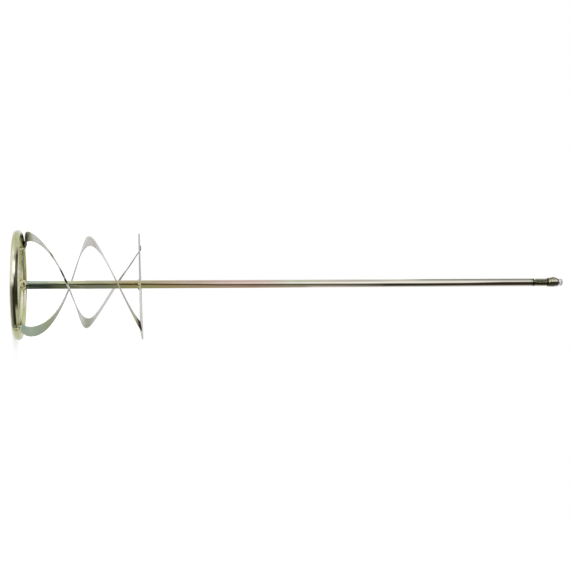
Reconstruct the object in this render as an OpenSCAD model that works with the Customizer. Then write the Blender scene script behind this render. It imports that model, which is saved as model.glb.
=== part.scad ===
// Mortar mixing paddle: a welded stirring cage on a long shaft with a slotted drive end.
// It stands on its bottom ring, with the shaft upright along Z. Sizes are in millimetres.

/* [Overall] */
// Length from the foot of the ring to the tip of the drive end
overall_l = 600; // [450:1:750]
// Height of the underside of the top crossbar above the foot of the ring
cage_h = 125; // [100:1:180]

/* [Bottom ring] */
// Outside diameter of the ring
ring_d = 112; // [96:1:140]
// Diameter of the round rod that the ring is bent from
ring_rod_d = 7; // [6:0.5:10]
// Width of the butt seam where the two ends of the rod meet
seam_gap = 0.8; // [0.4:0.1:2]
// Depth of the open groove left round the butt seam
seam_groove = 1; // [0.4:0.1:2]
// Angle of the butt seam past the end of the spoke
seam_turn = 4; // [-20:1:20]

/* [Spoke] */
// Side of the square bar across the ring
spoke_side = 5; // [4:0.5:6]
// Height of the underside of the spoke above the foot of the ring
spoke_lift = 0.7; // [0.2:0.1:1]

/* [Ribbon blades] */
// Width of the flat strip, set radially like the flight of an auger
blade_w = 10; // [8:0.5:14]
// Thickness of the flat strip
blade_t = 1.1; // [0.9:0.1:3]
// Bevel on the four long edges of the strip
blade_edge = 0.25; // [0.1:0.05:0.4]

/* [First blade] */
// Angle past the spoke at which the first strip starts
blade_a_start = 6.5; // [-15:0.5:15]
// Radius of its outer edge where it is welded to the ring
blade_a_root_r = 56.4; // [50:0.1:62]
// Radius of its outer edge at the crossbar
blade_a_top_r = 50.6; // [46:0.1:58]
// Pull towards the shaft at mid height
blade_a_waist = 8.5; // [0:0.1:12]
// Angle over which it lifts off the ring
blade_a_lift = 47; // [12:1:60]
// Gathering of its turn at the waist, 0 for an even helix
blade_a_gather = 0.52; // [0:0.01:0.8]
// Steady roll about its own length, the outer edge down
blade_a_dish = 2.3; // [0:0.1:15]
// Roll to and fro about its own length, twice a turn
blade_a_swing = 14.4; // [0:0.1:25]
// Angle from the spoke at which that roll is at rest
blade_a_rest = 19; // [0:1:90]
// Roll that is left over from its lower end, the outer edge up
blade_a_foot_roll = -10.9; // [-20:0.1:20]
// Share of the wind over which that roll fades out
blade_a_foot_span = 0.325; // [0.2:0.005:1]
// Twist of its upper end about its outer edge, the inner edge down
blade_a_twist = 21; // [-30:1:30]
// Share of the wind over which the upper end is twisted
blade_a_twist_span = 0.077; // [0.05:0.001:0.5]

/* [Second blade] */
// Angle past the spoke at which the second strip starts
blade_b_start = -2.5; // [-15:0.5:15]
// Radius of its outer edge where it is welded to the ring
blade_b_root_r = 54.1; // [50:0.1:62]
// Radius of its outer edge at the crossbar
blade_b_top_r = 61.9; // [46:0.1:64]
// Pull towards the shaft at mid height
blade_b_waist = 8.7; // [0:0.1:12]
// Angle over which it lifts off the ring
blade_b_lift = 38; // [12:1:60]
// Gathering of its turn at the waist, 0 for an even helix
blade_b_gather = 0.39; // [0:0.01:0.8]
// Steady roll about its own length, the outer edge down
blade_b_dish = 3; // [0:0.1:15]
// Roll to and fro about its own length, twice a turn
blade_b_swing = 10.5; // [0:0.1:25]
// Angle from the spoke at which that roll is at rest
blade_b_rest = 37; // [0:1:90]
// Roll that is left over from its lower end, the outer edge up
blade_b_foot_roll = 11.1; // [-20:0.1:20]
// Share of the wind over which that roll fades out
blade_b_foot_span = 0.68; // [0.2:0.005:1]
// Twist of its upper end about its outer edge, the inner edge down
blade_b_twist = -6; // [-30:1:30]
// Share of the wind over which the upper end is twisted
blade_b_twist_span = 0.065; // [0.05:0.001:0.5]

/* [Top crossbar] */
// Length of the flat bar
bar_l = 117.4; // [100:0.1:130]
// Width of the flat bar
bar_w = 20; // [14:0.5:26]
// Thickness of the flat bar
bar_t = 1.5; // [1:0.1:4]
// Turn of the flat bar against the spoke
bar_turn = 9; // [0:1:20]
// Shift of the flat bar along its own length
bar_shift = 1.2; // [-5:0.1:5]
// Tilt of the flat bar about its own length, at the shaft
bar_tilt = 4.7; // [0:0.1:8]
// Twist of the flat bar from end to end
bar_twist = 4.6; // [0:0.1:8]

/* [Shaft] */
// Diameter of the round shaft
shaft_d = 8.4; // [7:0.1:9]
// Bevel at the foot of the shaft
shaft_bevel = 0.6; // [0.2:0.1:1.5]

/* [Drive end] */
// Diameter of the drive head
head_d = 10; // [9.5:0.1:12]
// Length of the full round of the drive head
head_l = 10.5; // [9:0.5:20]
// Length of the bevelled tip beyond the head
tip_l = 7; // [4:0.5:10]
// Diameter of the round of the tip
tip_neck_d = 8; // [7:0.1:9.2]
// Diameter at the very end of the tip, inside its bevel
tip_d = 5.2; // [4:0.1:6.8]
// Length of the closed ball grooves below the head
ball_groove_l = 17.5; // [12:0.5:25]
// Diameter of the cutter of the ball grooves
ball_d = 6.4; // [5:0.1:7]
// Depth of the ball grooves in the shaft
ball_depth = 1.7; // [0.8:0.1:2.2]
// Plain shaft left between the ball grooves and the head
ball_gap = 0.6; // [0.3:0.1:3]
// Width of the open key slots in the head
key_w = 3; // [2:0.1:3.4]
// Depth of the open key slots in the head
key_depth = 1.8; // [0.8:0.1:2.2]
// Run of the key slots into the shaft below the head
key_run = 0.8; // [0.4:0.1:3]
// Turn of the ball grooves against the spoke
drive_turn = 86; // [0:1:180]

/* [Welds] */
// Height of the weld round the foot of the shaft
foot_weld_h = 5; // [3:0.5:8]
// Radial reach of the weld round the foot of the shaft
foot_weld_leg = 1.9; // [1.2:0.1:3]
// Radius of the welds at the ends of the spoke
spoke_weld_r = 4; // [3.5:0.1:4.5]
// Radius of the beads at the lower ends of the strips
root_weld_r = 2.3; // [1.5:0.1:3]
// Radius of the beads at the upper ends of the strips
top_weld_r = 1.1; // [0.8:0.1:2]
// Length of the beads at the upper ends of the strips
top_weld_l = 6.4; // [3:0.1:9]
// Place of the first strip's upper bead, in from the strip's outer edge
top_weld_a_inset = -1.4; // [-3:0.1:8]
// Place of the second strip's upper bead, in from the strip's outer edge
top_weld_b_inset = 4.2; // [-3:0.1:8]
// Leg of the weld below the crossbar round the shaft
bar_weld_leg = 1.9; // [1.2:0.1:3]

/* [Fits] */
// Gap left between neighbouring pieces, closed by the welds
seat = 0.1; // [0.05:0.05:0.3]
// Play of the hole in the crossbar round the shaft
bar_hole_play = 0.3; // [0.2:0.1:1]

/* [Hidden] */
$fn = 128;
rod_r = ring_rod_d / 2;
ring_mid_r = ring_d / 2 - rod_r;
ring_in_r = ring_mid_r - rod_r;
seam_angle = 2 * asin(seam_gap / 2 / ring_mid_r);
shaft_r = shaft_d / 2;
spoke_top = spoke_lift + spoke_side;
foot_z = spoke_top + seat;
head_r = head_d / 2;
head_top = overall_l - tip_l;
head_z = head_top - head_l;
shoulder = head_r - shaft_r;
tip_step = head_r - tip_neck_d / 2;
tip_bevel = (tip_neck_d - tip_d) / 2;
bar_mid = cage_h + bar_t / 2;
blade_steps = 132;
blade_end_steps = 11;
blade_a_z1 = bar_mid + bar_w / 2 * sin(bar_tilt_at(-blade_a_top_r));
blade_b_z1 = bar_mid - bar_w / 2 * sin(bar_tilt_at(blade_b_top_r));
blade_a_end = 540 + bar_turn - asin(bar_w / 2 / blade_a_top_r);
blade_b_end = 720 + bar_turn - asin(bar_w / 2 / blade_b_top_r);
blade_a = [
  180 + blade_a_start, blade_a_end, blade_a_root_r, blade_a_top_r, blade_a_z1, blade_a_waist, blade_a_lift,
  blade_a_gather, blade_a_dish, blade_a_swing, blade_a_rest, blade_a_foot_roll, blade_a_foot_span,
  blade_a_twist, blade_a_twist_span
];
blade_b = [
  360 + blade_b_start, blade_b_end, blade_b_root_r, blade_b_top_r, blade_b_z1, blade_b_waist, blade_b_lift,
  blade_b_gather, blade_b_dish, blade_b_swing, blade_b_rest, blade_b_foot_roll, blade_b_foot_span,
  blade_b_twist, blade_b_twist_span
];
zinc_yellow = [0.73, 0.70, 0.55];
zinc_pale = [0.74, 0.74, 0.70];
weld_tint = [0.66, 0.62, 0.48];

// Tilt of the crossbar at a distance along it from the shaft
function bar_tilt_at(x) = bar_tilt + bar_twist * (x - bar_shift) / bar_l;

// The values of a blade, by name
function start_of(b) = b[0];
function sweep_of(b) = b[1] - b[0];
function root_r_of(b) = b[2];
function top_r_of(b) = b[3];
function z1_of(b) = b[4];
function waist_of(b) = b[5];
function lift_of(b) = b[6];
function gather_of(b) = b[7];
function dish_of(b) = b[8];
function swing_of(b) = b[9];
function rest_of(b) = b[10];
function foot_roll_of(b) = b[11];
function foot_span_of(b) = b[12];
function twist_of(b) = b[13];
function twist_span_of(b) = b[14];

// Share of the wind that has been climbed: a parabola while the strip lifts off the ring, then even
function lifted(b, s) =
  let (a = lift_of(b) / sweep_of(b))
  (s < a ? s * s / (2 * a) : s - a / 2) / (1 - a / 2);

// Share of the height at share s of the wind, the turn being gathered at the waist
function climb(b, s) =
  let (v = lifted(b, s))
  v + gather_of(b) * sin(360 * v) / (2 * PI);

// Angle round the shaft at share s of the wind
function blade_angle(b, s) = start_of(b) + sweep_of(b) * s;

// Point of the middle line of a strip at share s of its wind
function blade_point(b, s) =
  let (c = climb(b, s))
  let (outer = root_r_of(b) + (top_r_of(b) - root_r_of(b)) * c - waist_of(b) * sin(180 * c))
  let (r = outer - blade_w / 2)
  let (z0 = ring_rod_d + seat + blade_t / 2)
  let (angle = blade_angle(b, s))
  [r * cos(angle), r * sin(angle), z0 + (z1_of(b) - z0) * c];

// Roll of a strip about its own length at share s, faded in above the ring
function blade_roll(b, s) =
  let (wave = dish_of(b) + swing_of(b) * sin(2 * (blade_angle(b, s) - rest_of(b))))
  let (left_over = foot_roll_of(b) * max(0, 1 - s / foot_span_of(b)))
  (left_over - wave) * min(1, s / 0.12);

// Twist of a strip at share s, on a parabola towards its upper end
function blade_twist(b, s) =
  let (near_end = max(0, 1 - (1 - s) / twist_span_of(b)))
  twist_of(b) * near_end * near_end;

// Bevelled cross-section of a strip at share s: across is radial, up is square to the strip.
// The roll turns it about its middle, the twist about its outer edge.
function blade_section(b, s) =
  let (t = blade_point(b, s + 0.002) - blade_point(b, max(s - 0.002, 0)))
  let (angle = blade_angle(b, s))
  let (e = [cos(angle), sin(angle), 0])
  let (n = cross(e, t))
  let (square_up = n / norm(n))
  let (square_across = cross(t, square_up) / norm(t))
  let (roll = blade_roll(b, s))
  let (a = roll + blade_twist(b, s))
  let (across = cos(a) * square_across + sin(a) * square_up)
  let (up = cos(a) * square_up - sin(a) * square_across)
  let (w = blade_w / 2)
  let (h = blade_t / 2)
  let (k = blade_edge)
  let (outer_edge = blade_point(b, s) + w * (cos(roll) * square_across + sin(roll) * square_up))
  let (p = outer_edge - w * across)
  [for (q = [[k - w, -h], [w - k, -h], [w, k - h], [w, h - k], [w - k, h], [k - w, h], [-w, h - k], [-w, k - h]])
    p + q[0] * across + q[1] * up];

// Flat strip wound from share s0 to share s1 of its full wind
module blade_span(b, s0, s1, steps) {
  points = [for (i = [0:steps]) each blade_section(b, s0 + (s1 - s0) * i / steps)];
  sides = [for (i = [0:steps - 1], j = [0:7])
    let (k = (j + 1) % 8)
    each [
      [8 * i + j, 8 * i + k, 8 * i + 8 + k],
      [8 * i + j, 8 * i + 8 + k, 8 * i + 8 + j]
    ]];
  root = [for (j = [1:6]) [0, j + 1, j]];
  top = [for (j = [1:6]) [8 * steps, 8 * steps + j, 8 * steps + j + 1]];
  polyhedron(points = points, faces = concat(sides, root, top));
}

// Room above and below the crossbar, with the gap to its neighbours
module bar_room() {
  rotate([0, 0, bar_turn])
    translate([-bar_l, -bar_w / 2 - seat, cage_h - blade_w])
    cube([2 * bar_l, bar_w + 2 * seat, 2 * blade_w]);
}

// Strip with its upper end cut along the edge of the crossbar
module blade(b) {
  difference() {
    blade_span(b, 0, 1, blade_steps);
    bar_room();
  }
}

// Flat bar without its hole: a plate that is twisted a little along its length
module bar_plate() {
  translate([0, 0, bar_mid])
    rotate([0, 90, bar_turn])
    translate([0, 0, bar_shift])
    linear_extrude(height = bar_l, center = true, twist = -bar_twist, slices = 12, $fn = 4)
    rotate(bar_tilt - bar_twist / 2)
    square([bar_t, bar_w], center = true);
}

// Round rod bent to the ring, thicker by grow all round
module ring_room(grow) {
  rotate_extrude()
    translate([ring_mid_r, rod_r])
    circle(r = rod_r + grow);
}

// Round bead along X with ball ends
module bead(length, r) {
  rotate([0, 90, 0])
    cylinder(r = r, h = length, center = true);
  translate([length / 2, 0, 0])
    sphere(r = r);
  translate([-length / 2, 0, 0])
    sphere(r = r);
}

module shaft() {
  color(zinc_yellow)
    difference() {
      rotate_extrude()
        polygon([
          [0, foot_z],
          [shaft_r - shaft_bevel, foot_z],
          [shaft_r, foot_z + shaft_bevel],
          [shaft_r, head_z],
          [head_r, head_z + shoulder],
          [head_r, head_top],
          [tip_neck_d / 2, head_top + tip_step],
          [tip_neck_d / 2, overall_l - tip_bevel],
          [tip_d / 2, overall_l],
          [0, overall_l]
        ]);
      for (turn = [0, 180])
        rotate([0, 0, drive_turn + turn]) {
          translate([shaft_r - ball_depth + ball_d / 2, 0, head_z - ball_gap - ball_groove_l / 2])
            rotate([0, 90, 0])
            bead(ball_groove_l - ball_d, ball_d / 2);
          translate([-key_w / 2, head_r - key_depth, head_z - key_run])
            cube([key_w, key_depth + head_r, overall_l]);
        }
    }
}

module base_ring() {
  color(zinc_yellow)
    rotate([0, 0, seam_turn + seam_angle / 2])
    rotate_extrude(angle = 360 - seam_angle)
    translate([ring_mid_r, rod_r])
    circle(r = rod_r);
}

module ring_seam_weld() {
  color(weld_tint)
    rotate([0, 0, seam_turn - seam_angle / 2])
    rotate_extrude(angle = seam_angle)
    translate([ring_mid_r, rod_r])
    circle(r = rod_r - seam_groove);
}

module ring_spoke() {
  color(zinc_yellow)
    difference() {
      translate([-ring_mid_r, -spoke_side / 2, spoke_lift])
        cube([2 * ring_mid_r, spoke_side, spoke_side]);
      ring_room(seat);
    }
}

module blade_a() {
  color(zinc_pale)
    blade(blade_a);
}

module blade_b() {
  color(zinc_pale)
    blade(blade_b);
}

module top_crossbar() {
  color(zinc_pale)
    difference() {
      bar_plate();
      translate([0, 0, cage_h - bar_w])
        cylinder(d = shaft_d + bar_hole_play, h = 2 * bar_w);
    }
}

module shaft_foot_weld() {
  reach = shaft_r + foot_weld_leg;
  color(weld_tint)
    difference() {
      rotate_extrude()
        polygon([
          [0, spoke_top - foot_weld_leg / 2],
          [reach - 0.6, spoke_top - foot_weld_leg / 2],
          [reach, spoke_top],
          [reach - 0.3, spoke_top + foot_weld_h * 0.3],
          [shaft_r + foot_weld_leg * 0.4, spoke_top + foot_weld_h * 0.7],
          [shaft_r, spoke_top + foot_weld_h],
          [0, spoke_top + foot_weld_h]
        ]);
      translate([0, 0, spoke_top])
        cylinder(r = shaft_r, h = foot_weld_h * 2);
      translate([-ring_d, -spoke_side / 2, spoke_top - ring_d])
        cube([2 * ring_d, spoke_side, ring_d]);
    }
}

// Lump of weld round the end of the spoke, on the side of +X
module spoke_weld() {
  color(weld_tint)
    difference() {
      intersection() {
        translate([ring_in_r - seat, 0, spoke_lift + spoke_side / 2])
          sphere(r = spoke_weld_r);
        translate([0, -ring_rod_d, spoke_lift / 2])
          cube([ring_d, 2 * ring_rod_d, ring_rod_d - spoke_lift]);
      }
      ring_room(0);
      translate([0, -spoke_side / 2, spoke_lift])
        cube([ring_d, spoke_side, spoke_side]);
    }
}

module spoke_weld_left() {
  rotate([0, 0, 180])
    spoke_weld();
}

module spoke_weld_right() {
  spoke_weld();
}

// Bead across the lower end of a strip, on the crown of the ring
module blade_root_weld(b) {
  color(weld_tint)
    difference() {
      rotate([0, 0, start_of(b)])
        intersection() {
          translate([ring_mid_r, 0, ring_rod_d + seat])
            bead(rod_r, root_weld_r);
          translate([0, -ring_rod_d, 0])
            cube([ring_d, ring_rod_d, 2 * ring_rod_d]);
        }
      ring_room(0);
    }
}

module blade_root_weld_a() {
  blade_root_weld(blade_a);
}

module blade_root_weld_b() {
  blade_root_weld(blade_b);
}

// Bead along the edge of the crossbar where a strip ends, on the arm given by side and the face given by face
module blade_top_weld(b, side, face, inset) {
  along = side * (top_r_of(b) - inset);
  color(weld_tint)
    difference() {
      rotate([0, 0, bar_turn])
        translate([along, -side * (bar_w / 2 + seat / 2), z1_of(b) + face * bar_t / 2])
        bead(top_weld_l - 2 * top_weld_r, top_weld_r);
      bar_plate();
      blade_span(b, 1 - blade_end_steps / blade_steps, 1, blade_end_steps);
    }
}

module blade_top_weld_a() {
  blade_top_weld(blade_a, -1, 1, top_weld_a_inset);
}

module blade_top_weld_b() {
  blade_top_weld(blade_b, 1, -1, top_weld_b_inset);
}

module crossbar_weld() {
  color(weld_tint)
    difference() {
      rotate_extrude()
        polygon([
          [shaft_r, cage_h - bar_weld_leg],
          [shaft_r + bar_weld_leg * 0.6, cage_h - bar_weld_leg * 0.7],
          [shaft_r + bar_weld_leg, cage_h],
          [shaft_r + bar_weld_leg, bar_mid],
          [shaft_r, bar_mid]
        ]);
      bar_plate();
    }
}

shaft();
base_ring();
ring_seam_weld();
ring_spoke();
blade_a();
blade_b();
top_crossbar();
shaft_foot_weld();
spoke_weld_left();
spoke_weld_right();
blade_root_weld_a();
blade_root_weld_b();
blade_top_weld_a();
blade_top_weld_b();
crossbar_weld();
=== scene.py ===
"""Dresses the solids of a welded mortar mixing paddle: plated rods, wound strips and rippled weld beads."""

import math

import bpy
import numpy as np
from bpy.props import FloatProperty, FloatVectorProperty, PointerProperty
from mathutils import Matrix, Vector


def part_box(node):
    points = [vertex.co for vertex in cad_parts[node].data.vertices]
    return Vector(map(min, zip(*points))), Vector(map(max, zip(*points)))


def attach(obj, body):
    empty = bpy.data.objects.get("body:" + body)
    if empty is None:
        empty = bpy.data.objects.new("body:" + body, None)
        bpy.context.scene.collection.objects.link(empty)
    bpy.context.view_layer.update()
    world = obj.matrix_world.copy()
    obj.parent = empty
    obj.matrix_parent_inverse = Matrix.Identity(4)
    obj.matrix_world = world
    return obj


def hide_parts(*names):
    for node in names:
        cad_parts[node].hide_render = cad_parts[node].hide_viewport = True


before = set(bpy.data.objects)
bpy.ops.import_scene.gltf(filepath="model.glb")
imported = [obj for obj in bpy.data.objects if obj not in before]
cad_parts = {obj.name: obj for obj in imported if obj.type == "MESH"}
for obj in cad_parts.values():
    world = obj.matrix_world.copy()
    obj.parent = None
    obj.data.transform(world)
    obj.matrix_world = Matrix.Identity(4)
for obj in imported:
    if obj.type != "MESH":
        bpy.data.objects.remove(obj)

bl_info = {
    "name": "Mixing Paddle Dresser",
    "version": (1, 0, 0),
    "blender": (4, 5, 0),
    "location": "View3D > Sidebar > Paddle",
    "description": "Dresses a welded mixing paddle with plated rods, wound strips and weld beads",
    "category": "Object",
}

MM = 0.001
TURN = 2 * math.pi
RIGHT_ANGLE = math.pi / 2
UPWARD = (0, 0, 1)
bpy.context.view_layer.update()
RING_LO, RING_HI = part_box("base_ring")
SPOKE_LO, SPOKE_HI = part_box("ring_spoke")
BAR_LO, BAR_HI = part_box("top_crossbar")
SHAFT_LO, SHAFT_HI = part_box("shaft")

# Length of the drive end over which painted shade and wear are placed
DRIVE_REACH = 40 * MM

# Noise for the drawing lines along the shaft: cells a metre along X, Y and Z, and detail
STREAKS = ((1700, 1700, 9), 2)

# The picture: its side, the column of the ring's centre and the span of the ring, in pixels
FRAME_PX = 570
RING_COLUMN_PX = 18.95
RING_SPAN_PX = 110


def length(name, description, metres):
    """A length that a user may change, in metres."""
    return FloatProperty(name=name, description=description, default=metres, unit="LENGTH",
                         subtype="DISTANCE", precision=5)


def turn(name, description, degrees):
    """An angle that a user may change, written in degrees."""
    return FloatProperty(name=name, description=description, default=math.radians(degrees),
                         unit="ROTATION", subtype="ANGLE")


def share(name, description, value):
    """A plain number that a user may change."""
    return FloatProperty(name=name, description=description, default=value, precision=3)


def tint(name, description, value):
    """A colour that a user may change."""
    return FloatVectorProperty(name=name, description=description, default=value, subtype="COLOR",
                               size=3, min=0, max=1)


class PaddleRods(bpy.types.PropertyGroup):
    """Sizes of the ring, the spoke, the crossbar and the shaft."""

    ring_d: length("Ring", "Outside diameter of the bottom ring", RING_HI.y - RING_LO.y)
    rod_d: length("Ring rod", "Diameter of the rod that the ring is bent from", RING_HI.z - RING_LO.z)
    seam_turn: turn("Seam", "Angle of the butt seam past the end of the spoke", 4)
    seam_gap: length("Seam gap", "Width of the open butt seam", 0.8 * MM)
    seam_groove: length("Seam groove", "Depth of the groove round the seam", 1.0 * MM)
    spoke_side: length("Spoke", "Side of the square bar across the ring", SPOKE_HI.y - SPOKE_LO.y)
    spoke_lift: length("Spoke lift", "Height of the spoke above the floor", SPOKE_LO.z)
    bar_l: length("Crossbar length", "Length of the flat crossbar", 117.4 * MM)
    bar_w: length("Crossbar width", "Width of the flat crossbar", 20 * MM)
    bar_t: length("Crossbar thickness", "Thickness of the flat crossbar", 1.5 * MM)
    bar_mid: length("Crossbar height", "Height of the middle of the crossbar", (BAR_LO.z + BAR_HI.z) / 2)
    bar_turn: turn("Crossbar turn", "Turn of the crossbar against the spoke", 9)
    bar_shift: length("Crossbar shift", "Shift of the crossbar along its own length", 1.2 * MM)
    bar_tilt: turn("Crossbar tilt", "Tilt of the crossbar about its own length, at the shaft", 4.7)
    bar_twist: turn("Crossbar twist", "Twist of the crossbar from end to end", 4.6)
    shaft_d: length("Shaft", "Diameter of the round shaft", 8.4 * MM)
    hole_play: length("Hole play", "Play of the crossbar's hole round the shaft", 0.3 * MM)
    seat: length("Seat", "Gap between neighbouring pieces", 0.1 * MM)


class PaddleStrips(bpy.types.PropertyGroup):
    """Section of the two wound strips."""

    width: length("Width", "Width of the flat strip", 10 * MM)
    thickness: length("Thickness", "Thickness of the flat strip", 1.1 * MM)
    edge: length("Edge", "Rounding of the rolled edges", 0.3 * MM)


def wind_of(**sizes):
    """The properties of one strip's wind: lengths are given in millimetres, angles in degrees, the rest as
    they are."""
    angles = {
        "start": ("Start", "Angle at which the strip starts on the ring"),
        "lift": ("Lift", "Angle over which the strip lifts off the ring"),
        "dish": ("Dish", "Steady roll about the strip's length, the outer edge down"),
        "swing": ("Swing", "Roll to and fro about the strip's length, twice a turn"),
        "rest": ("Rest", "Angle at which the swing is at rest"),
        "foot_roll": ("Foot roll", "Roll that is left over from the lower end, the outer edge up"),
        "twist": ("Twist", "Twist of the upper end about its outer edge, the inner edge down"),
    }
    lengths = {
        "root_r": ("Root radius", "Radius of the outer edge at the ring"),
        "top_r": ("Top radius", "Radius of the outer edge at the crossbar"),
        "waist": ("Waist", "Pull towards the shaft at mid height"),
    }
    shares = {
        "gather": ("Gather", "Gathering of the turn at the waist"),
        "foot_span": ("Foot span", "Share of the wind over which that roll fades out"),
        "twist_span": ("Twist span", "Share of the wind over which the upper end is twisted"),
    }
    made = {key: turn(*words, sizes[key]) for key, words in angles.items()}
    made.update({key: length(*words, sizes[key] * MM) for key, words in lengths.items()})
    made.update({key: share(*words, sizes[key]) for key, words in shares.items()})
    return made


class PaddleFirstStrip(bpy.types.PropertyGroup):
    """Wind of the first strip."""

    __annotations__ = wind_of(
        start=186.5, root_r=56.4, top_r=50.6, waist=8.5, lift=47, gather=0.52, dish=2.3, swing=14.4, rest=19,
        foot_roll=-10.9, foot_span=0.325, twist=21, twist_span=0.077)


class PaddleSecondStrip(bpy.types.PropertyGroup):
    """Wind of the second strip."""

    __annotations__ = wind_of(
        start=357.5, root_r=54.1, top_r=61.9, waist=8.7, lift=38, gather=0.39, dish=3, swing=10.5, rest=37,
        foot_roll=11.1, foot_span=0.68, twist=-6, twist_span=0.065)


class PaddleDrive(bpy.types.PropertyGroup):
    """Sizes of the slotted drive end."""

    head_d: length("Head", "Diameter of the drive head", 10 * MM)
    head_l: length("Head length", "Length of the drive head", 10.5 * MM)
    tip_l: length("Tip length", "Length of the tip beyond the head", 7 * MM)
    tip_neck_d: length("Tip", "Diameter of the round of the tip", 8 * MM)
    tip_d: length("Tip end", "Diameter at the very end of the tip, inside its bevel", 5.2 * MM)
    foot_bevel: length("Foot bevel", "Bevel at the foot of the shaft", 0.6 * MM)
    ball_l: length("Ball groove length", "Length of the closed ball grooves", 17.5 * MM)
    ball_d: length("Ball groove cutter", "Diameter of the cutter of the ball grooves", 6.4 * MM)
    ball_depth: length("Ball groove depth", "Depth of the closed ball grooves", 1.7 * MM)
    ball_gap: length("Ball groove gap", "Plain shaft between the grooves and the head", 0.6 * MM)
    key_w: length("Key slot width", "Width of the open key slots", 3 * MM)
    key_depth: length("Key slot depth", "Depth of the open key slots", 1.8 * MM)
    key_run: length("Key slot run", "Run of the key slots below the head", 0.8 * MM)
    drive_turn: turn("Drive turn", "Turn of the ball grooves against the spoke", 86)
    burr_h: length("Burr", "Height of the worn burr on one side of the head", 0.9 * MM)
    burr_l: length("Burr length", "Half length of the burr along the head", 2.4 * MM)
    burr_z: length("Burr place", "Distance of the burr below the end of the tip", 10.5 * MM)
    burr_turn: turn("Burr turn", "Angle of the burr round the shaft", 221)


class PaddleFinish(bpy.types.PropertyGroup):
    """Colours of the plated finishes, as the metal's own reflection. Some are also laid as painted highlights
    and painted shade.
    """

    straw: tint("Straw", "Yellow passivated zinc", (0.70, 0.68, 0.47))
    olive: tint("Olive", "Greenish passivated zinc", (0.52, 0.57, 0.36))
    khaki: tint("Khaki", "Yellow green zinc in the cage and on the crossbar at the shaft", (0.57, 0.54, 0.33))
    tan: tint("Tan", "Light brown zinc above the crossbar and near a strip's end", (0.63, 0.50, 0.37))
    mint: tint("Mint", "Zinc with a trace of green half way up the shaft", (0.85, 0.90, 0.75))
    rust: tint("Rust", "Brown specks beside the crossbar and in burnt scale", (0.34, 0.17, 0.04))
    brass: tint("Brass", "Bright yellow weld metal", (0.94, 0.88, 0.48))
    rose: tint("Rose", "Pink interference tint", (0.90, 0.69, 0.65))
    # Silver is also laid on the ring as painted highlights
    silver: tint("Silver", "Zinc with hardly any tint", (0.95, 0.92, 0.83))
    lime: tint("Lime", "Greenish yellow zinc of the ring", (0.68, 0.69, 0.40))
    pale: tint("Pale strip", "Pale grey zinc of the strips", (0.87, 0.87, 0.86))
    blush: tint("Blush", "Faint pink patch on the second strip", (0.86, 0.76, 0.70))
    ash: tint("Ash", "Pale grey zinc of the crossbar", (0.85, 0.83, 0.86))
    # Fern is also laid as painted shade on the ring's near side and at the strips' ends
    fern: tint("Fern", "Olive zinc on the ring and beside dark patches of the strips", (0.46, 0.47, 0.29))
    sage: tint("Sage", "Greenish grey zinc at the shaft's foot and a strip's root", (0.49, 0.59, 0.49))
    slate: tint("Slate", "Grey zinc at the upper end of the first strip", (0.34, 0.34, 0.34))
    lead: tint("Lead", "Grey zinc on one half of the crossbar and near it", (0.54, 0.52, 0.54))
    dove: tint("Dove", "Darker pale zinc on the first strip's bend", (0.60, 0.62, 0.58))
    smoke: tint("Smoke", "Dark grey of burnt scale and of the first strip at the shaft", (0.08, 0.08, 0.07))
    # Soot is also laid as black painted shade at the strips' ends and on the first strip's root bead
    soot: tint("Soot", "Black scale in the ring's seam and on the strips", (0.012, 0.010, 0.010))
    # Moss is also laid as painted shade at the shaft's foot, on the spoke's top and at the strips' ends
    moss: tint("Moss", "Dark olive scale on and beside the welds", (0.10, 0.11, 0.06))
    # The heat tint is also laid on the ring's far side as brown painted shade
    heat: tint("Heat tint", "Brown heat tint beside the welds", (0.61, 0.50, 0.28))
    # Bright is also a painted highlight: matt white at the shaft's tip and pale at the ring's top
    bright: tint("Bright steel", "Bright steel of the tip and of bright patches", (0.92, 0.90, 0.94))


class PaddleStudio(bpy.types.PropertyGroup):
    """Camera and light of the studio."""

    lens: length("Lens", "Focal length of the camera", 58.74 * MM)
    floor_r: length("Floor", "Radius of the pale floor", 3.0)
    card_r: length("Card", "Radius of the curved dark reflection card", 0.1)
    card_h: length("Card height", "Height of the curved reflection card", 1.4)
    floor_card_r: length("Floor card", "Inner radius of the flat reflection card round the ring", 0.05)
    strip_light: share("Strip light", "Strength of the strip light that the ring reflects", 1.35)
    collar_r: length("Collar radius", "Radius of the low reflection card close round the ring", 0.0610)
    collar_h: length("Collar height", "Height of the low reflection card close round the ring", 0.0085)
    lid_r: length("Lid radius", "Inner radius of the lid on the collar", 0.0500)
    azimuth: turn("Azimuth", "Direction of the camera round the shaft", 41)
    pitch: turn("Pitch", "Angle by which the camera looks up along the shaft", 10.8)
    roll: turn("Roll", "Small roll of the camera", 0.313)


# Grids, meshes and pieces


def grid_faces(rows, columns, wrap_rows=False):
    """Quads of a grid of points, row by row, closed round the columns, and round the rows where asked."""
    row = np.arange(rows if wrap_rows else rows - 1)[:, None]
    column = np.arange(columns)[None, :]
    here, above = row * columns, (row + 1) % rows * columns
    beside = (column + 1) % columns
    quads = np.broadcast_arrays(here + column, here + beside, above + beside, above + column)
    return np.stack(quads, -1).reshape(-1, 4)


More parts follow.
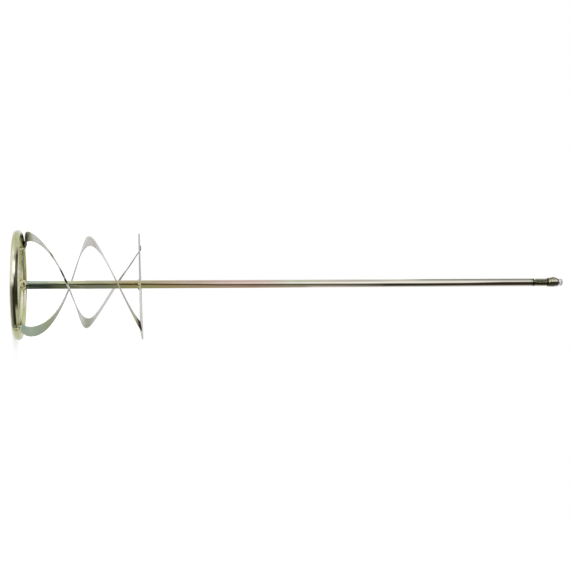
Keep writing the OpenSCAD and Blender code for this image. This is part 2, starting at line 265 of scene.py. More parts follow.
def closed_shell(points, wrap_rows):
    """Points and faces of a closed skin: rows of loops, joined up row by row. Open ends are closed by a fan
    from the middle of the end loop, and the faces are turned so that the enclosed volume is positive."""
    rows, columns = points.shape[:2]
    flat = points.reshape(-1, 3)
    quads = grid_faces(rows, columns, wrap_rows)
    fans = np.zeros((0, 3), int)
    if not wrap_rows:
        flat = np.concatenate([flat, points[:1].mean(1), points[-1:].mean(1)])
        here = np.arange(columns)
        beside = (here + 1) % columns
        foot, top = np.full(columns, rows * columns), np.full(columns, rows * columns + 1)
        last = (rows - 1) * columns
        foot_fan, top_fan = (foot, beside, here), (top, last + here, last + beside)
        fans = np.concatenate([np.stack(foot_fan, -1), np.stack(top_fan, -1)])
    triangles = np.concatenate([quads[:, [0, 1, 2]], quads[:, [0, 2, 3]], fans])
    a, b, c = flat[triangles[:, 0]], flat[triangles[:, 1]], flat[triangles[:, 2]]
    if np.einsum("ij,ij->", a, np.cross(b, c)) < 0:
        quads, fans = quads[:, ::-1], fans[:, ::-1]
    return flat, quads, fans


def mesh_of(name, shells, sharp):
    """One mesh from several closed skins, smooth except at edges sharper than the given angle in degrees."""
    starts = np.cumsum([0] + [len(shell[0]) for shell in shells])
    points = np.concatenate([shell[0] for shell in shells])
    faces = []
    for start, (_, quads, fans) in zip(starts, shells):
        faces += (quads + start).tolist() + (fans + start).tolist()
    mesh = bpy.data.meshes.new(name)
    mesh.from_pydata(points.tolist(), [], faces)
    mesh.polygons.foreach_set("use_smooth", np.ones(len(mesh.polygons), bool))
    mesh.set_sharp_from_angle(angle=math.radians(sharp))
    mesh.update()
    return mesh


def put(name, data):
    """Puts a mesh, a lamp or a camera into the scene."""
    made = bpy.data.objects.new(name, data)
    bpy.context.scene.collection.objects.link(made)
    return made


def add_piece(name, grids, finish, slot, *nodes, sharp=40, wrap_rows=False):
    """Makes a piece of the paddle from grids of points, one closed skin each, that stands for the given
    solids."""
    mesh = mesh_of(name, [closed_shell(grid, wrap_rows) for grid in grids], sharp)
    mesh.materials.append(finish)
    piece = put(name, mesh)
    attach(piece, "root")
    if nodes:
        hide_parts(*nodes)
    return mesh


def loop_angles(count):
    """Even angles once round, without the end, as a row."""
    return np.linspace(0, TURN, count, endpoint=False)[None, :]


def away_from(angle, middle):
    """Angle as seen from a middle angle, between minus and plus half a turn."""
    return (angle - middle + math.pi) % TURN - math.pi


def rounded_outline(half_w, half_h, radius, corner, flat):
    """Outline of a rectangle with round corners: four quarter circles joined by straight sides."""
    across = np.array([1, -1, -1, 1]) * (half_w - radius)
    upward = np.array([1, 1, -1, -1]) * (half_h - radius)
    angle = np.linspace(0, RIGHT_ANGLE, corner + 1)[None, :] + np.arange(4)[:, None] * RIGHT_ANGLE
    arcs = across[:, None] + radius * np.cos(angle), upward[:, None] + radius * np.sin(angle)
    corners = np.stack(arcs, -1)
    after = np.roll(corners[:, 0], -1, 0)
    step = (np.arange(1, flat) / flat)[None, :, None]
    sides = corners[:, -1:] * (1 - step) + after[:, None] * step
    return np.concatenate([corners, sides], 1).reshape(-1, 2)


def smooth_min(a, b, reach):
    """The lesser of two numbers, with the edge between them rounded over a reach."""
    blend = np.maximum(reach - np.abs(a - b), 0) / reach
    return np.minimum(a, b) - blend * blend * reach / 4


# Nodes


def feed(tree, made, inputs):
    """Links or sets the inputs of a shader node."""
    for key, value in inputs.items():
        if isinstance(value, bpy.types.NodeSocket):
            tree.links.new(value, made.inputs[key])
        else:
            made.inputs[key].default_value = value
    return made


def node(tree, kind, inputs=None, **settings):
    """Adds a shader node, sets its settings, and links or sets its inputs."""
    made = tree.nodes.new(kind)
    for key, value in settings.items():
        setattr(made, key, value)
    return feed(tree, made, inputs or {})


def ramp(tree, factor, stops):
    """Adds a colour ramp with the given (place, colour) stops."""
    made = node(tree, "ShaderNodeValToRGB", {"Fac": factor})
    elements = made.color_ramp.elements
    while len(elements) < len(stops):
        elements.new(0.5)
    for element, (place, colour) in zip(elements, stops):
        element.position = place
        element.color = (*colour[:3], 1)
    return made.outputs["Color"]


def grey(level):
    """A neutral colour of that level."""
    return (level, level, level)


def greys(tree, factor, *stops):
    """Adds a ramp of greys with the given (place, level) stops."""
    return ramp(tree, factor, [(place, grey(level)) for place, level in stops])


def patina(look, runs):
    """Colour stops from runs of (tint, places): the tint holds from the first of its places to the last."""
    return [(place, getattr(look, name)) for name, *places in runs for place in places]


def tints(tree, factor, look, *runs):
    """Adds a ramp of tints from runs of (tint, places)."""
    return ramp(tree, factor, patina(look, runs))


def mix(tree, factor, a, b, blend="MIX"):
    """Mixes two colours."""
    a, b = (value if isinstance(value, bpy.types.NodeSocket) else (*value[:3], 1) for value in (a, b))
    return node(tree, "ShaderNodeMix", {0: factor, 6: a, 7: b}, data_type="RGBA", blend_type=blend).outputs[2]


def maths(tree, operation, a, b):
    """Adds a plain sum, product or other operation on two numbers."""
    return node(tree, "ShaderNodeMath", {0: a, 1: b}, operation=operation).outputs[0]


def times(tree, a, b):
    """The product of two numbers."""
    return maths(tree, "MULTIPLY", a, b)


def largest(tree, first, *others):
    """The largest of several numbers."""
    for other in others:
        first = maths(tree, "MAXIMUM", first, other)
    return first


def noise(tree, vector, cells, detail):
    """Cloudy noise with the given number of cells a metre, even or along X, Y and Z."""
    stretch = cells if isinstance(cells, tuple) else (cells, cells, cells)
    mapped = node(tree, "ShaderNodeMapping", {"Vector": vector, "Scale": stretch})
    inputs = {"Vector": mapped.outputs[0], "Scale": 1.0, "Detail": detail, "Roughness": 0.55}
    return node(tree, "ShaderNodeTexNoise", inputs).outputs["Fac"]


def spread(tree, value, low, high, to_low, to_high):
    """Maps a number from one range to another, held at both ends."""
    inputs = {"Value": value, "From Min": low, "From Max": high, "To Min": to_low, "To Max": to_high}
    return node(tree, "ShaderNodeMapRange", inputs).outputs[0]


def axes_of(tree, place):
    """The X, Y and Z of a place."""
    return node(tree, "ShaderNodeSeparateXYZ", {0: place}).outputs


def angle_of(tree, axes):
    """Angle round the Z axis, between minus and plus half a turn."""
    return maths(tree, "ARCTAN2", axes["Y"], axes["X"])


def radius_of(tree, axes):
    """Distance from the Z axis."""
    flat = node(tree, "ShaderNodeCombineXYZ", {0: axes["X"], 1: axes["Y"]}).outputs[0]
    return length_of(tree, flat)


def length_of(tree, vector):
    """Length of a vector."""
    return node(tree, "ShaderNodeVectorMath", {0: vector}, operation="LENGTH").outputs["Value"]


def new_material(name):
    """A new material and its node tree."""
    made = bpy.data.materials.new(name)
    made.use_nodes = True
    return made, made.node_tree


# Finishes


def metal(name, colour_of, rough, grain, bump, metallic=1.0):
    """A plated metal: its colour is made by a function of the node tree and Object coordinates, its roughness
    wanders between two levels, and its bump is noise of the given cells and detail. Dark patches are dull. A
    matt plating is less than fully metallic, all over or by another such function."""
    made, tree = new_material(name)
    place = node(tree, "ShaderNodeTexCoord").outputs["Object"]
    colour = colour_of(tree, place)
    patch = noise(tree, place, (260, 260, 90), 4)
    height = noise(tree, place, *grain)
    bumped = node(tree, "ShaderNodeBump", {"Height": height, "Strength": bump, "Distance": 0.3 * MM})
    feed(tree, tree.nodes["Principled BSDF"], {
        "Base Color": colour,
        "Metallic": metallic(tree, place) if callable(metallic) else metallic,
        "Specular IOR Level": spread(tree, colour, 0.03, 0.30, 0.0, 0.5),
        "Roughness": spread(tree, patch, 0.3, 0.7, *rough),
        "Normal": bumped.outputs[0]})
    return made


def round_shaft(tree, axes):
    """Angle round the shaft from -90 to 70 degrees, as a share."""
    return spread(tree, angle_of(tree, axes), math.radians(-90), math.radians(70), 0.0, 1.0)


def along_drive(tree, axes, top):
    """Height along the drive end, as a share."""
    return spread(tree, axes["Z"], top - DRIVE_REACH, top, 0.0, 1.0)


def drive_end_shade(tree, place, axes, top):
    """Painted shade of the drive end, mottled: dark in the grooves, where the surface lies below the shaft's
    round, and in narrow rings at the start of the grooves, under the head, above it and at the tip's edge."""
    deep = spread(tree, radius_of(tree, axes), 3.3 * MM, 4.1 * MM, 0.4, 1.0)
    mottled = spread(tree, noise(tree, place, 750, 3), 0.40, 0.60, 0.55, 1.45)
    drive = along_drive(tree, axes, top)
    grooved = greys(tree, drive, (0.0, 0.0), (0.05, 1.0), (0.82, 1.0), (0.85, 0.0))
    rings = greys(
        tree, drive, (0.065, 1.0), (0.085, 0.2), (0.125, 0.25), (0.15, 1.0), (0.50, 1.0), (0.52, 0.15),
        (0.555, 0.15), (0.58, 1.0), (0.812, 1.0), (0.83, 0.15), (0.86, 0.15), (0.875, 1.0), (0.945, 1.0),
        (0.95, 0.08), (0.965, 0.08), (0.97, 1.0))
    return mix(tree, 1.0, rings, mix(tree, grooved, grey(1.0), times(tree, deep, mottled)), "MULTIPLY")


def worn(tree, axes, top):
    """Matt worn edges beside the grooves of the drive end: two lines and a band along the shaft, by their
    angles."""
    lines = greys(
        tree, round_shaft(tree, axes), (0.10, 0.0), (0.13, 0.5), (0.155, 0.0), (0.255, 0.0), (0.28, 0.4),
        (0.305, 0.0), (0.58, 0.0), (0.64, 0.85), (0.94, 0.85), (1.0, 0.0))
    reach = greys(tree, along_drive(tree, axes, top), (0.16, 0.0), (0.26, 1.0), (0.49, 1.0), (0.51, 0.0))
    return times(tree, lines, reach)


def shaft_finish(look, top):
    """Yellow zinc on the drawn shaft: sage, olive and khaki in the cage, brown beside the crossbar, rose
    above it, then silver, and at the tip a matt white that is a painted highlight on its bare steel. One side
    has rust specks beside the crossbar, and another has dark painted shade at the foot. The drive end has
    painted shade in its grooves and at its steps, and is worn."""
    wander = 6 * MM

    def colour(tree, place):
        axes = axes_of(tree, place)
        around = round_shaft(tree, axes)
        shift = spread(tree, noise(tree, place, (40, 40, 14), 2), 0.25, 0.75, -wander, wander)
        along = maths(tree, "DIVIDE", maths(tree, "ADD", axes["Z"], shift), top)
        base = tints(
            tree, along, look, ("sage", 0.035), ("olive", 0.07), ("khaki", 0.12, 0.165), ("heat", 0.19),
            ("khaki", 0.215), ("tan", 0.25), ("rose", 0.37, 0.42), ("mint", 0.48), ("silver", 0.57, 0.93),
            ("olive", 0.945, 0.966), ("straw", 0.973, 0.985), ("bright", 0.990))
        cloud = noise(tree, place, (150, 150, 45), 4)
        clouds = tints(tree, cloud, look, ("olive", 0.30), ("silver", 0.46), ("straw", 0.60), ("rose", 0.72))
        zinc = mix(tree, 0.16, base, clouds)
        speck = spread(tree, noise(tree, place, (520, 520, 300), 3), 0.50, 0.60, 0.0, 0.85)
        scorched = greys(tree, along, (0.165, 0.0), (0.178, 1.0), (0.203, 1.0), (0.210, 0.0))
        side = greys(tree, around, (0.08, 0.0), (0.16, 1.0), (0.26, 1.0), (0.34, 0.0))
        specked = mix(tree, times(tree, speck, times(tree, scorched, side)), zinc, look.rust)
        # Dark olive painted shade on one side of the shaft's foot
        foot = greys(tree, maths(tree, "DIVIDE", axes["Z"], top), (0.0228, 1.0), (0.0240, 0.0))
        other_side = greys(tree, around, (0.22, 0.0), (0.30, 1.0))
        painted_foot_shade = mix(tree, times(tree, foot, other_side), specked, look.moss)
        lines = spread(tree, noise(tree, place, *STREAKS), 0.3, 0.7, 0.86, 1.08)
        lined = mix(tree, 1.0, painted_foot_shade, lines, "MULTIPLY")
        # Painted shade of the drive end's grooves and steps darkens the colour
        drive_shaded_zinc = mix(tree, 1.0, lined, drive_end_shade(tree, place, axes, top), "MULTIPLY")
        return mix(tree, worn(tree, axes, top), drive_shaded_zinc, look.straw)

    def plated(tree, place):
        axes = axes_of(tree, place)
        # At the tip the metal gives way to matt white: a painted highlight on the bare steel
        tip = spread(tree, axes["Z"], top - 5.0 * MM, top - 4.5 * MM, 0.0, 0.88)
        return maths(tree, "SUBTRACT", 1.0, largest(tree, worn(tree, axes, top), tip))

    return metal("shaft_yellow_zinc", colour, (0.04, 0.09), STREAKS, 0.01, plated)


def ring_finish(look):
    """Yellow zinc on the bent rod of the ring: colour stops round the turn, in degrees, under olive and
    silver clouds. Much of it is painted light and shade: silver highlights on the far and the near side, a
    bright highlight at the top, brown shade on the far side and olive shade on the near side down to the
    seam's black line."""
    first, full = 4, 360
    # Silver at 115 and from 290 to 308 and bright from 212 to 232 are painted highlights; the heat tint at
    # 140 and fern from 318 to 358.2 are painted shade
    stops = patina(look, (
        ("lime", 4, 93), ("silver", 115), ("lime", 128), ("heat", 140), ("lime", 152, 200),
        ("bright", 212, 232), ("lime", 244, 262), ("silver", 290, 308), ("fern", 318, 358.2),
        ("soot", 358.6, 360.2), ("lime", 360.6, 364)))

    def colour(tree, place):
        angle = angle_of(tree, axes_of(tree, place))
        behind = times(tree, maths(tree, "LESS_THAN", angle, math.radians(first)), TURN)
        turned = maths(tree, "ADD", angle, behind)
        around = spread(tree, turned, math.radians(first), math.radians(first + full), 0.0, 1.0)
        base = ramp(tree, around, [((degrees - first) / full, shade) for degrees, shade in stops])
        cloud = noise(tree, place, (70, 70, 120), 4)
        clouds = tints(tree, cloud, look, ("olive", 0.28), ("lime", 0.45, 0.58), ("silver", 0.74))
        fine = spread(tree, noise(tree, place, 900, 3), 0.3, 0.7, 0.88, 1.06)
        return mix(tree, 1.0, mix(tree, 0.3, base, clouds), fine, "MULTIPLY")

    return metal("ring_yellow_zinc", colour, (0.05, 0.12), (1400, 3), 0.01)


def spoke_finish(look, top):
    """Paler yellow zinc on the square spoke, with dark olive painted shade on the outer part of one half's
    top.
    """
    def colour(tree, place):
        axes = axes_of(tree, place)
        cloud = noise(tree, place, 160, 3)
        zinc = tints(tree, cloud, look, ("lime", 0.30), ("straw", 0.50), ("silver", 0.68))
        outer = spread(tree, axes["X"], -28 * MM, -16 * MM, 0.94, 0.0)
        upper = spread(tree, axes["Z"], top - 0.35 * MM, top - 0.15 * MM, 0.0, 1.0)
        # Painted shade on the outer part of one half's top
        return mix(tree, times(tree, outer, upper), zinc, look.moss)

    return metal("spoke_yellow_zinc", colour, (0.14, 0.26), (700, 3), 0.02)


def strip_finish(look, name, runs):
    """Pale zinc on a flat strip: tints along the share of its wind, with painted shade at one end, under
    faint green and rose clouds.
    """
    def colour(tree, place):
        wind = node(tree, "ShaderNodeAttribute", attribute_name="wind").outputs["Fac"]
        cloud = noise(tree, place, 45, 3)
        clouds = tints(tree, cloud, look, ("olive", 0.30), ("pale", 0.42, 0.62), ("rose", 0.76))
        return mix(tree, 0.3, tints(tree, wind, look, *runs), clouds, "MULTIPLY")

    return metal(name, colour, (0.30, 0.42), (500, 3), 0.015, 0.30)


def bar_finish(look):
    """Zinc on the crossbar: grey on one half, pale on the other, yellow beside the shaft, with a faint straw
    cloud."""
    reach = 60 * MM

    def colour(tree, place):
        along = spread(tree, axes_of(tree, place)["X"], -reach, reach, 0.0, 1.0)
        halves = tints(tree, along, look, ("lead", 0.515), ("khaki", 0.53, 0.60), ("ash", 0.615))
        return mix(tree, spread(tree, noise(tree, place, 60, 3), 0.4, 0.7, 0.0, 0.12), halves, look.straw)

    return metal("bar_pale_zinc", colour, (0.30, 0.42), (500, 3), 0.015, 0.30)


def weld_finish(look):
    """Weld metal under the same plating: bright and brass patches, dark in places, rougher than the rods."""
    def colour(tree, place):
        return tints(
            tree, noise(tree, place, 420, 4), look, ("moss", 0.42), ("heat", 0.46), ("brass", 0.49, 0.55),
            ("silver", 0.58), ("brass", 0.61), ("heat", 0.65), ("moss", 0.69))

    return metal("weld_yellow_zinc", colour, (0.12, 0.24), (1600, 4), 0.55, 0.35)


def scale_finish(look, name, black):
    """Burnt scale on a weld, also laid on one bead as black painted shade: black up to a share of the cloud,
    then dark grey, then brown.
    """
    def colour(tree, place):
        cloud = noise(tree, place, 300, 3)
        return tints(tree, cloud, look, ("soot", black), ("smoke", black + 0.15), ("rust", black + 0.45))

    return metal(name, colour, (0.45, 0.6), (1200, 3), 0.3, 0.2)


# Shapes


def shaft_points(rods, drive):
    """Skin of the shaft: the radius is a function of height and angle. It is the turned profile, or where a
    groove is deeper, the distance from the axis to the groove: for a ball groove the near side of a capsule
    beside the shaft, for a key slot a flat floor with steep walls. A bell-shaped burr stands on one side of
    the head."""
    soft, ball_edge, key_edge = 0.12 * MM, 0.2 * MM, 0.15 * MM
    wall_span, near_span, end_slope, burr_span = 0.03, 0.06, 6, 0.55
    foot_rows, stem_rows, drive_rows, columns = 9, 40, 170, 128
    r, head_r, tip_r, end_r = (d / 2 for d in (rods.shaft_d, drive.head_d, drive.tip_neck_d, drive.tip_d))
    top, foot = SHAFT_HI.z, SHAFT_LO.z
    head_top = top - drive.tip_l
    head_z = head_top - drive.head_l
    fine_foot, fine_head = foot + 2 * MM, head_z - 20 * MM
    corner_z = np.array([foot, foot + drive.foot_bevel, head_z, head_z + head_r - r, head_top,
                         head_top + head_r - tip_r, top - (tip_r - end_r), top])
    corner_r = np.array([r - drive.foot_bevel, r, r, head_r, head_r, tip_r, tip_r, end_r])
    spans = ((foot, fine_foot, foot_rows), (fine_foot, fine_head, stem_rows), (fine_head, top, drive_rows))
    z = np.unique(np.concatenate([np.linspace(*span) for span in spans] + [corner_z]))
    below, here, above = (np.interp(z + shift, corner_z, corner_r) for shift in (-soft, 0, soft))
    turned = (below + 2 * here + above) / 4
    wall = math.asin(drive.key_w / 2 / (head_r - drive.key_depth / 2))
    near_wall = np.linspace(-near_span, near_span, 13)
    slots = drive.drive_turn + RIGHT_ANGLE + np.array([0, math.pi])
    walls = [slot + side * wall + near_wall for slot in slots for side in (-1, 1)]
    angle = np.unique(np.round(np.concatenate([loop_angles(columns)[0], *walls]) % TURN, 6))[None, :]
    z = z[:, None]
    radius = turned[:, None] + 0 * angle
    away = r - drive.ball_depth + drive.ball_d / 2
    middle = head_z - drive.ball_gap - drive.ball_l / 2
    past = np.maximum(np.abs(z - middle) - (drive.ball_l - drive.ball_d) / 2, 0)
    cutter = np.maximum((drive.ball_d / 2) ** 2 - past ** 2, 0)
    for half in (0, math.pi):
        off = away_from(angle, drive.drive_turn + half)
        room = cutter - (away * np.sin(off)) ** 2
        groove = away * np.cos(off) - np.sqrt(np.maximum(room, 0))
        radius = smooth_min(radius, np.where((room > 0) & (np.cos(off) > 0), groove, 1.0), ball_edge)
        off = away_from(angle, drive.drive_turn + half + RIGHT_ANGLE)
        floor = (head_r - drive.key_depth) / np.maximum(np.cos(off), 0.2)
        sides = np.maximum(np.abs(off) - wall, 0) * drive.key_depth / wall_span
        end = np.maximum(head_z - drive.key_run - z, 0) * end_slope
        radius = smooth_min(radius, floor + sides + end, key_edge)
    off = away_from(angle, drive.burr_turn)
    bell = np.exp(-((z - top + drive.burr_z) / drive.burr_l) ** 2 - (off / burr_span) ** 2)
    radius = radius + drive.burr_h * bell
    return np.stack([radius * np.cos(angle), radius * np.sin(angle), z + 0 * angle], -1)


def ring_points(rods, tube_r, end_round, start, sweep, rows):
    """Skin of a bent round rod: a circle carried round the shaft's axis over a sweep of angle, with its two
    ends rounded off by a quarter circle."""
    columns, end_rows, crowding = 48, 7, 1.5
    mid_r = rods.ring_d / 2 - rods.rod_d / 2
    near = np.linspace(0, 1, end_rows) ** crowding * end_round / mid_r
    path = np.unique(np.concatenate([near, np.linspace(near[-1], sweep - near[-1], rows), sweep - near]))
    depth = np.minimum(np.minimum(path, sweep - path) * mid_r, end_round)
    tube = tube_r - end_round + np.sqrt(np.maximum(end_round ** 2 - (end_round - depth) ** 2, 0))
    around = loop_angles(columns)
    out = mid_r + tube[:, None] * np.cos(around)
    height = rods.rod_d / 2 + tube[:, None] * np.sin(around)
    angle = start + path[:, None]
    return np.stack([out * np.cos(angle), out * np.sin(angle), height], -1)


def spoke_points(rods):
    """Skin of the spoke: a square with rounded edges carried along X. Each line of it ends where it meets the
    rod of the ring, at the ring's inner side less the seat."""
    half, edge, rows = rods.spoke_side / 2, 0.55 * MM, 61
    outline = rounded_outline(half, half, edge, corner=6, flat=5)
    y, z = outline[:, 0], outline[:, 1] + rods.spoke_lift + half
    rod_r = rods.rod_d / 2 + rods.seat
    mid_r = rods.ring_d / 2 - rods.rod_d / 2
    inner = mid_r - np.sqrt(np.maximum(rod_r ** 2 - (z - rods.rod_d / 2) ** 2, 0))
    x = np.linspace(-1, 1, rows)[:, None] * np.sqrt(inner ** 2 - y ** 2)
    return np.stack([x, y + 0 * x, z + 0 * x], -1)


def bar_tilt_at(rods, x):
    """Tilt of the crossbar at a distance along it from the shaft: even twist from end to end."""
    return rods.bar_tilt + rods.bar_twist * (x - rods.bar_shift) / rods.bar_l


def strip_frame(wind, strips, sweep, z0, z1, s):
    """Middle of a wound strip at share s of its wind, with the directions across and square to the strip. The
    height climbs on a parabola while the strip lifts off the ring and evenly after that, gathered by a sine
    wave; the radius runs from the root to the top with a half sine taken off as the waist. The strip lies
    across the radial direction, dished and rolled to and fro twice a turn about its middle, with a roll left
    over from its lower end that fades out evenly, and its upper end is twisted on a parabola about the outer
    edge."""
    step, flat_foot = 0.002, 0.12

    def middle(s):
        lift = wind.lift / sweep
        climb = np.where(s < lift, s * s / (2 * lift), s - lift / 2) / (1 - lift / 2)
        rise = climb + wind.gather * np.sin(TURN * climb) / TURN
        waist = wind.waist * np.sin(math.pi * rise)
        r = wind.root_r + (wind.top_r - wind.root_r) * rise - waist - strips.width / 2
        angle = wind.start + sweep * s
        return np.stack([r * np.cos(angle), r * np.sin(angle), z0 + (z1 - z0) * rise], -1)

    def unit(vector):
        return vector / np.linalg.norm(vector, axis=-1, keepdims=True)

    angle = wind.start + sweep * s
    tangent = unit(middle(s + step) - middle(np.maximum(s - step, 0)))
    radial = np.stack([np.cos(angle), np.sin(angle), np.zeros_like(angle)], -1)
    up = unit(np.cross(radial, tangent))
    across = np.cross(tangent, up)
    near_end = np.maximum(0, 1 - (1 - s) / wind.twist_span)
    wave = wind.dish + wind.swing * np.sin(2 * (angle - wind.rest))
    left_over = wind.foot_roll * np.maximum(0, 1 - s / wind.foot_span)
    roll = ((left_over - wave) * np.clip(s / flat_foot, 0, 1))[..., None]
    outer = middle(s) + strips.width / 2 * (np.cos(roll) * across + np.sin(roll) * up)
    roll = roll + (wind.twist * near_end ** 2)[..., None]
    turned_across = np.cos(roll) * across + np.sin(roll) * up
    turned_up = np.cos(roll) * up - np.sin(roll) * across
    return outer - strips.width / 2 * turned_across, turned_across, turned_up


def strip_points(wind, strips, rods, side):
    """Skin of a wound strip: a flat section with rounded edges carried up the wind. Each line of it ends
    where it meets the plane of the crossbar's edge, found by halving the interval."""
    rows, halvings, earliest, latest = 300, 40, 0.9, 1.06
    half_turn = math.pi if side < 0 else 0.0
    end = rods.bar_turn + half_turn + TURN - math.asin(rods.bar_w / 2 / wind.top_r)
    end += TURN * math.ceil((wind.start + math.pi - end) / TURN)
    z0 = rods.rod_d + rods.seat + strips.thickness / 2
    z1 = rods.bar_mid - side * rods.bar_w / 2 * math.sin(bar_tilt_at(rods, side * wind.top_r))
    outline = rounded_outline(strips.width / 2, strips.thickness / 2, strips.edge, corner=5, flat=8)

    def skin_at(s):
        middle, across, up = strip_frame(wind, strips, end - wind.start, z0, z1, s)
        return middle + across * outline[:, :1] + up * outline[:, 1:]

    def past_edge(s):
        points = skin_at(s)
        y = points[..., 1] * math.cos(rods.bar_turn) - points[..., 0] * math.sin(rods.bar_turn)
        return side * y + rods.bar_w / 2 + rods.seat

    low, high = np.full(len(outline), earliest), np.full(len(outline), latest)
    for _ in range(halvings):
        middle = (low + high) / 2
        beyond = past_edge(middle) > 0
        low, high = np.where(beyond, low, middle), np.where(beyond, middle, high)
    return skin_at(np.linspace(0, 1, rows)[:, None] * low[None, :])


def bar_points(rods):
    """Skin of the crossbar: the section of a flat plate from the hole to the outline and back, with rounded
    edges, carried once round the shaft. The flat plate is then tilted about its length, more towards one
    end."""
    half_l, half_w, half_t = rods.bar_l / 2, rods.bar_w / 2, rods.bar_t / 2
    soft = 0.25 * MM
    long_points, short_points, face_rows, edge_rows = 61, 13, 6, 5
    long_side = half_w * np.tan(np.linspace(-1, 1, long_points) * math.atan(half_l / half_w))
    short_side = np.linspace(-half_w, half_w, short_points)[1:-1]

    def outline(inset):
        end, edge = half_l - inset, half_w - inset
        x, y = np.clip(long_side, -end, end), np.clip(short_side, -edge, edge)
        ends, edges = np.full(len(y), end), np.full(len(x), edge)
        sides = ((ends, y), (-x, edges), (-ends, -y), (x, -edges))
        return np.concatenate([np.stack(side, -1) for side in sides]) + np.array([rods.bar_shift, 0])

    rim = outline(0.0)
    angle = np.arctan2(rim[:, 1], rim[:, 0])
    inner = np.stack([np.cos(angle), np.sin(angle)], -1) * (rods.shaft_d + rods.hole_play) / 2
    quarter = np.linspace(0, RIGHT_ANGLE, edge_rows)
    edge_in, edge_up = soft * (1 - np.sin(quarter)), half_t - soft * (1 - np.cos(quarter))
    flat_rim = outline(edge_in[0])
    upper = [(inner * (1 - out) + flat_rim * out, half_t) for out in np.linspace(0, 1, face_rows)[:-1]]
    upper += [(outline(inset), height) for inset, height in zip(edge_in, edge_up)]
    rows = [(loop, -height) for loop, height in upper] + upper[::-1]
    flat = np.stack([loop for loop, _ in rows])
    x, across = flat[..., 0], flat[..., 1]
    upward = np.array([height for _, height in rows])[:, None]
    tilt = bar_tilt_at(rods, x)
    y = across * np.cos(tilt) - upward * np.sin(tilt)
    z = across * np.sin(tilt) + upward * np.cos(tilt) + rods.bar_mid
    cos, sin = math.cos(rods.bar_turn), math.sin(rods.bar_turn)
    return np.stack([x * cos - y * sin, x * sin + y * cos, z], -1)


def collar_points(inner, base, profile, lumps):
    """Skin of a weld collar: a profile of (reach beyond the inner radius, height above the base) in
    millimetres, carried once round the shaft, its reach scaled by a function of the angle and of the share
    along the profile."""
    rows, columns = 26, 160
    angle = loop_angles(columns)
    reach_at, height_at = np.array(profile).T * MM
    along = np.linspace(0, 1, rows)
    knots = np.linspace(0, 1, len(profile))
    height = np.interp(along, knots, base + height_at)
    r = inner + np.interp(along, knots, reach_at)[:, None] * lumps(angle, along[:, None])
    r = np.concatenate([inner + 0 * angle, r, inner + 0 * angle])
    z = np.concatenate([height[:1], height, height[-1:]])[:, None]
    return np.stack([r * np.cos(angle), r * np.sin(angle), z + 0 * angle], -1)


def blob_points(centre, along, sizes, ripples, seed):
    """Skin of a weld bead: an ellipsoid along a level direction, lumpy by a sum of sines, with ripples that
    cross it like stacked coins."""
    rows, columns, pole = 40, 48, 0.02
    v = np.linspace(pole, math.pi - pole, rows)[:, None]
    u = loop_angles(columns)
    along, up = np.array(along, float), np.array(UPWARD, float)
    across = np.cross(up, along)
    lumps = 1 + 0.10 * np.sin(2 * u + 3 * v + seed) * np.sin(2 * v)
    lumps = lumps + 0.06 * np.sin(3 * u - 2 * v + 2.1 * seed)
    coins = 1 + 0.05 * np.abs(np.sin(ripples * np.cos(v) * 0.5 + 0.25 * np.cos(u) + seed))
    body = np.sin(v) * lumps * coins
    parts = np.cos(v) + 0 * u, body * np.cos(u), body * np.sin(u)
    return np.array(centre) + sum((size * part)[..., None] * direction
                                  for size, part, direction in zip(sizes, parts, (along, across, up)))


def ball_points(centres, radii):
    """Skins of many small balls: one unit ball scaled and moved to every place at once."""
    rows, columns, pole = 7, 10, 0.25
    v = np.linspace(pole, math.pi - pole, rows)[:, None]
    u = loop_angles(columns)
    ball = np.stack([np.sin(v) * np.cos(u), np.sin(v) * np.sin(u), np.cos(v) + 0 * u], -1)
    return centres[:, None, None, :] + radii[:, None, None, None] * ball


# Reflection cards


def flag(tree, around, along, stops, bands=()):
    """One flag of a card: its density over the angle, in degrees, times its density along the height or the
    radius, where bands are given."""
    density = greys(tree, around, *((degrees / 360 + 0.5, level) for degrees, level in stops))
    return times(tree, density, greys(tree, along, *bands)) if bands else density


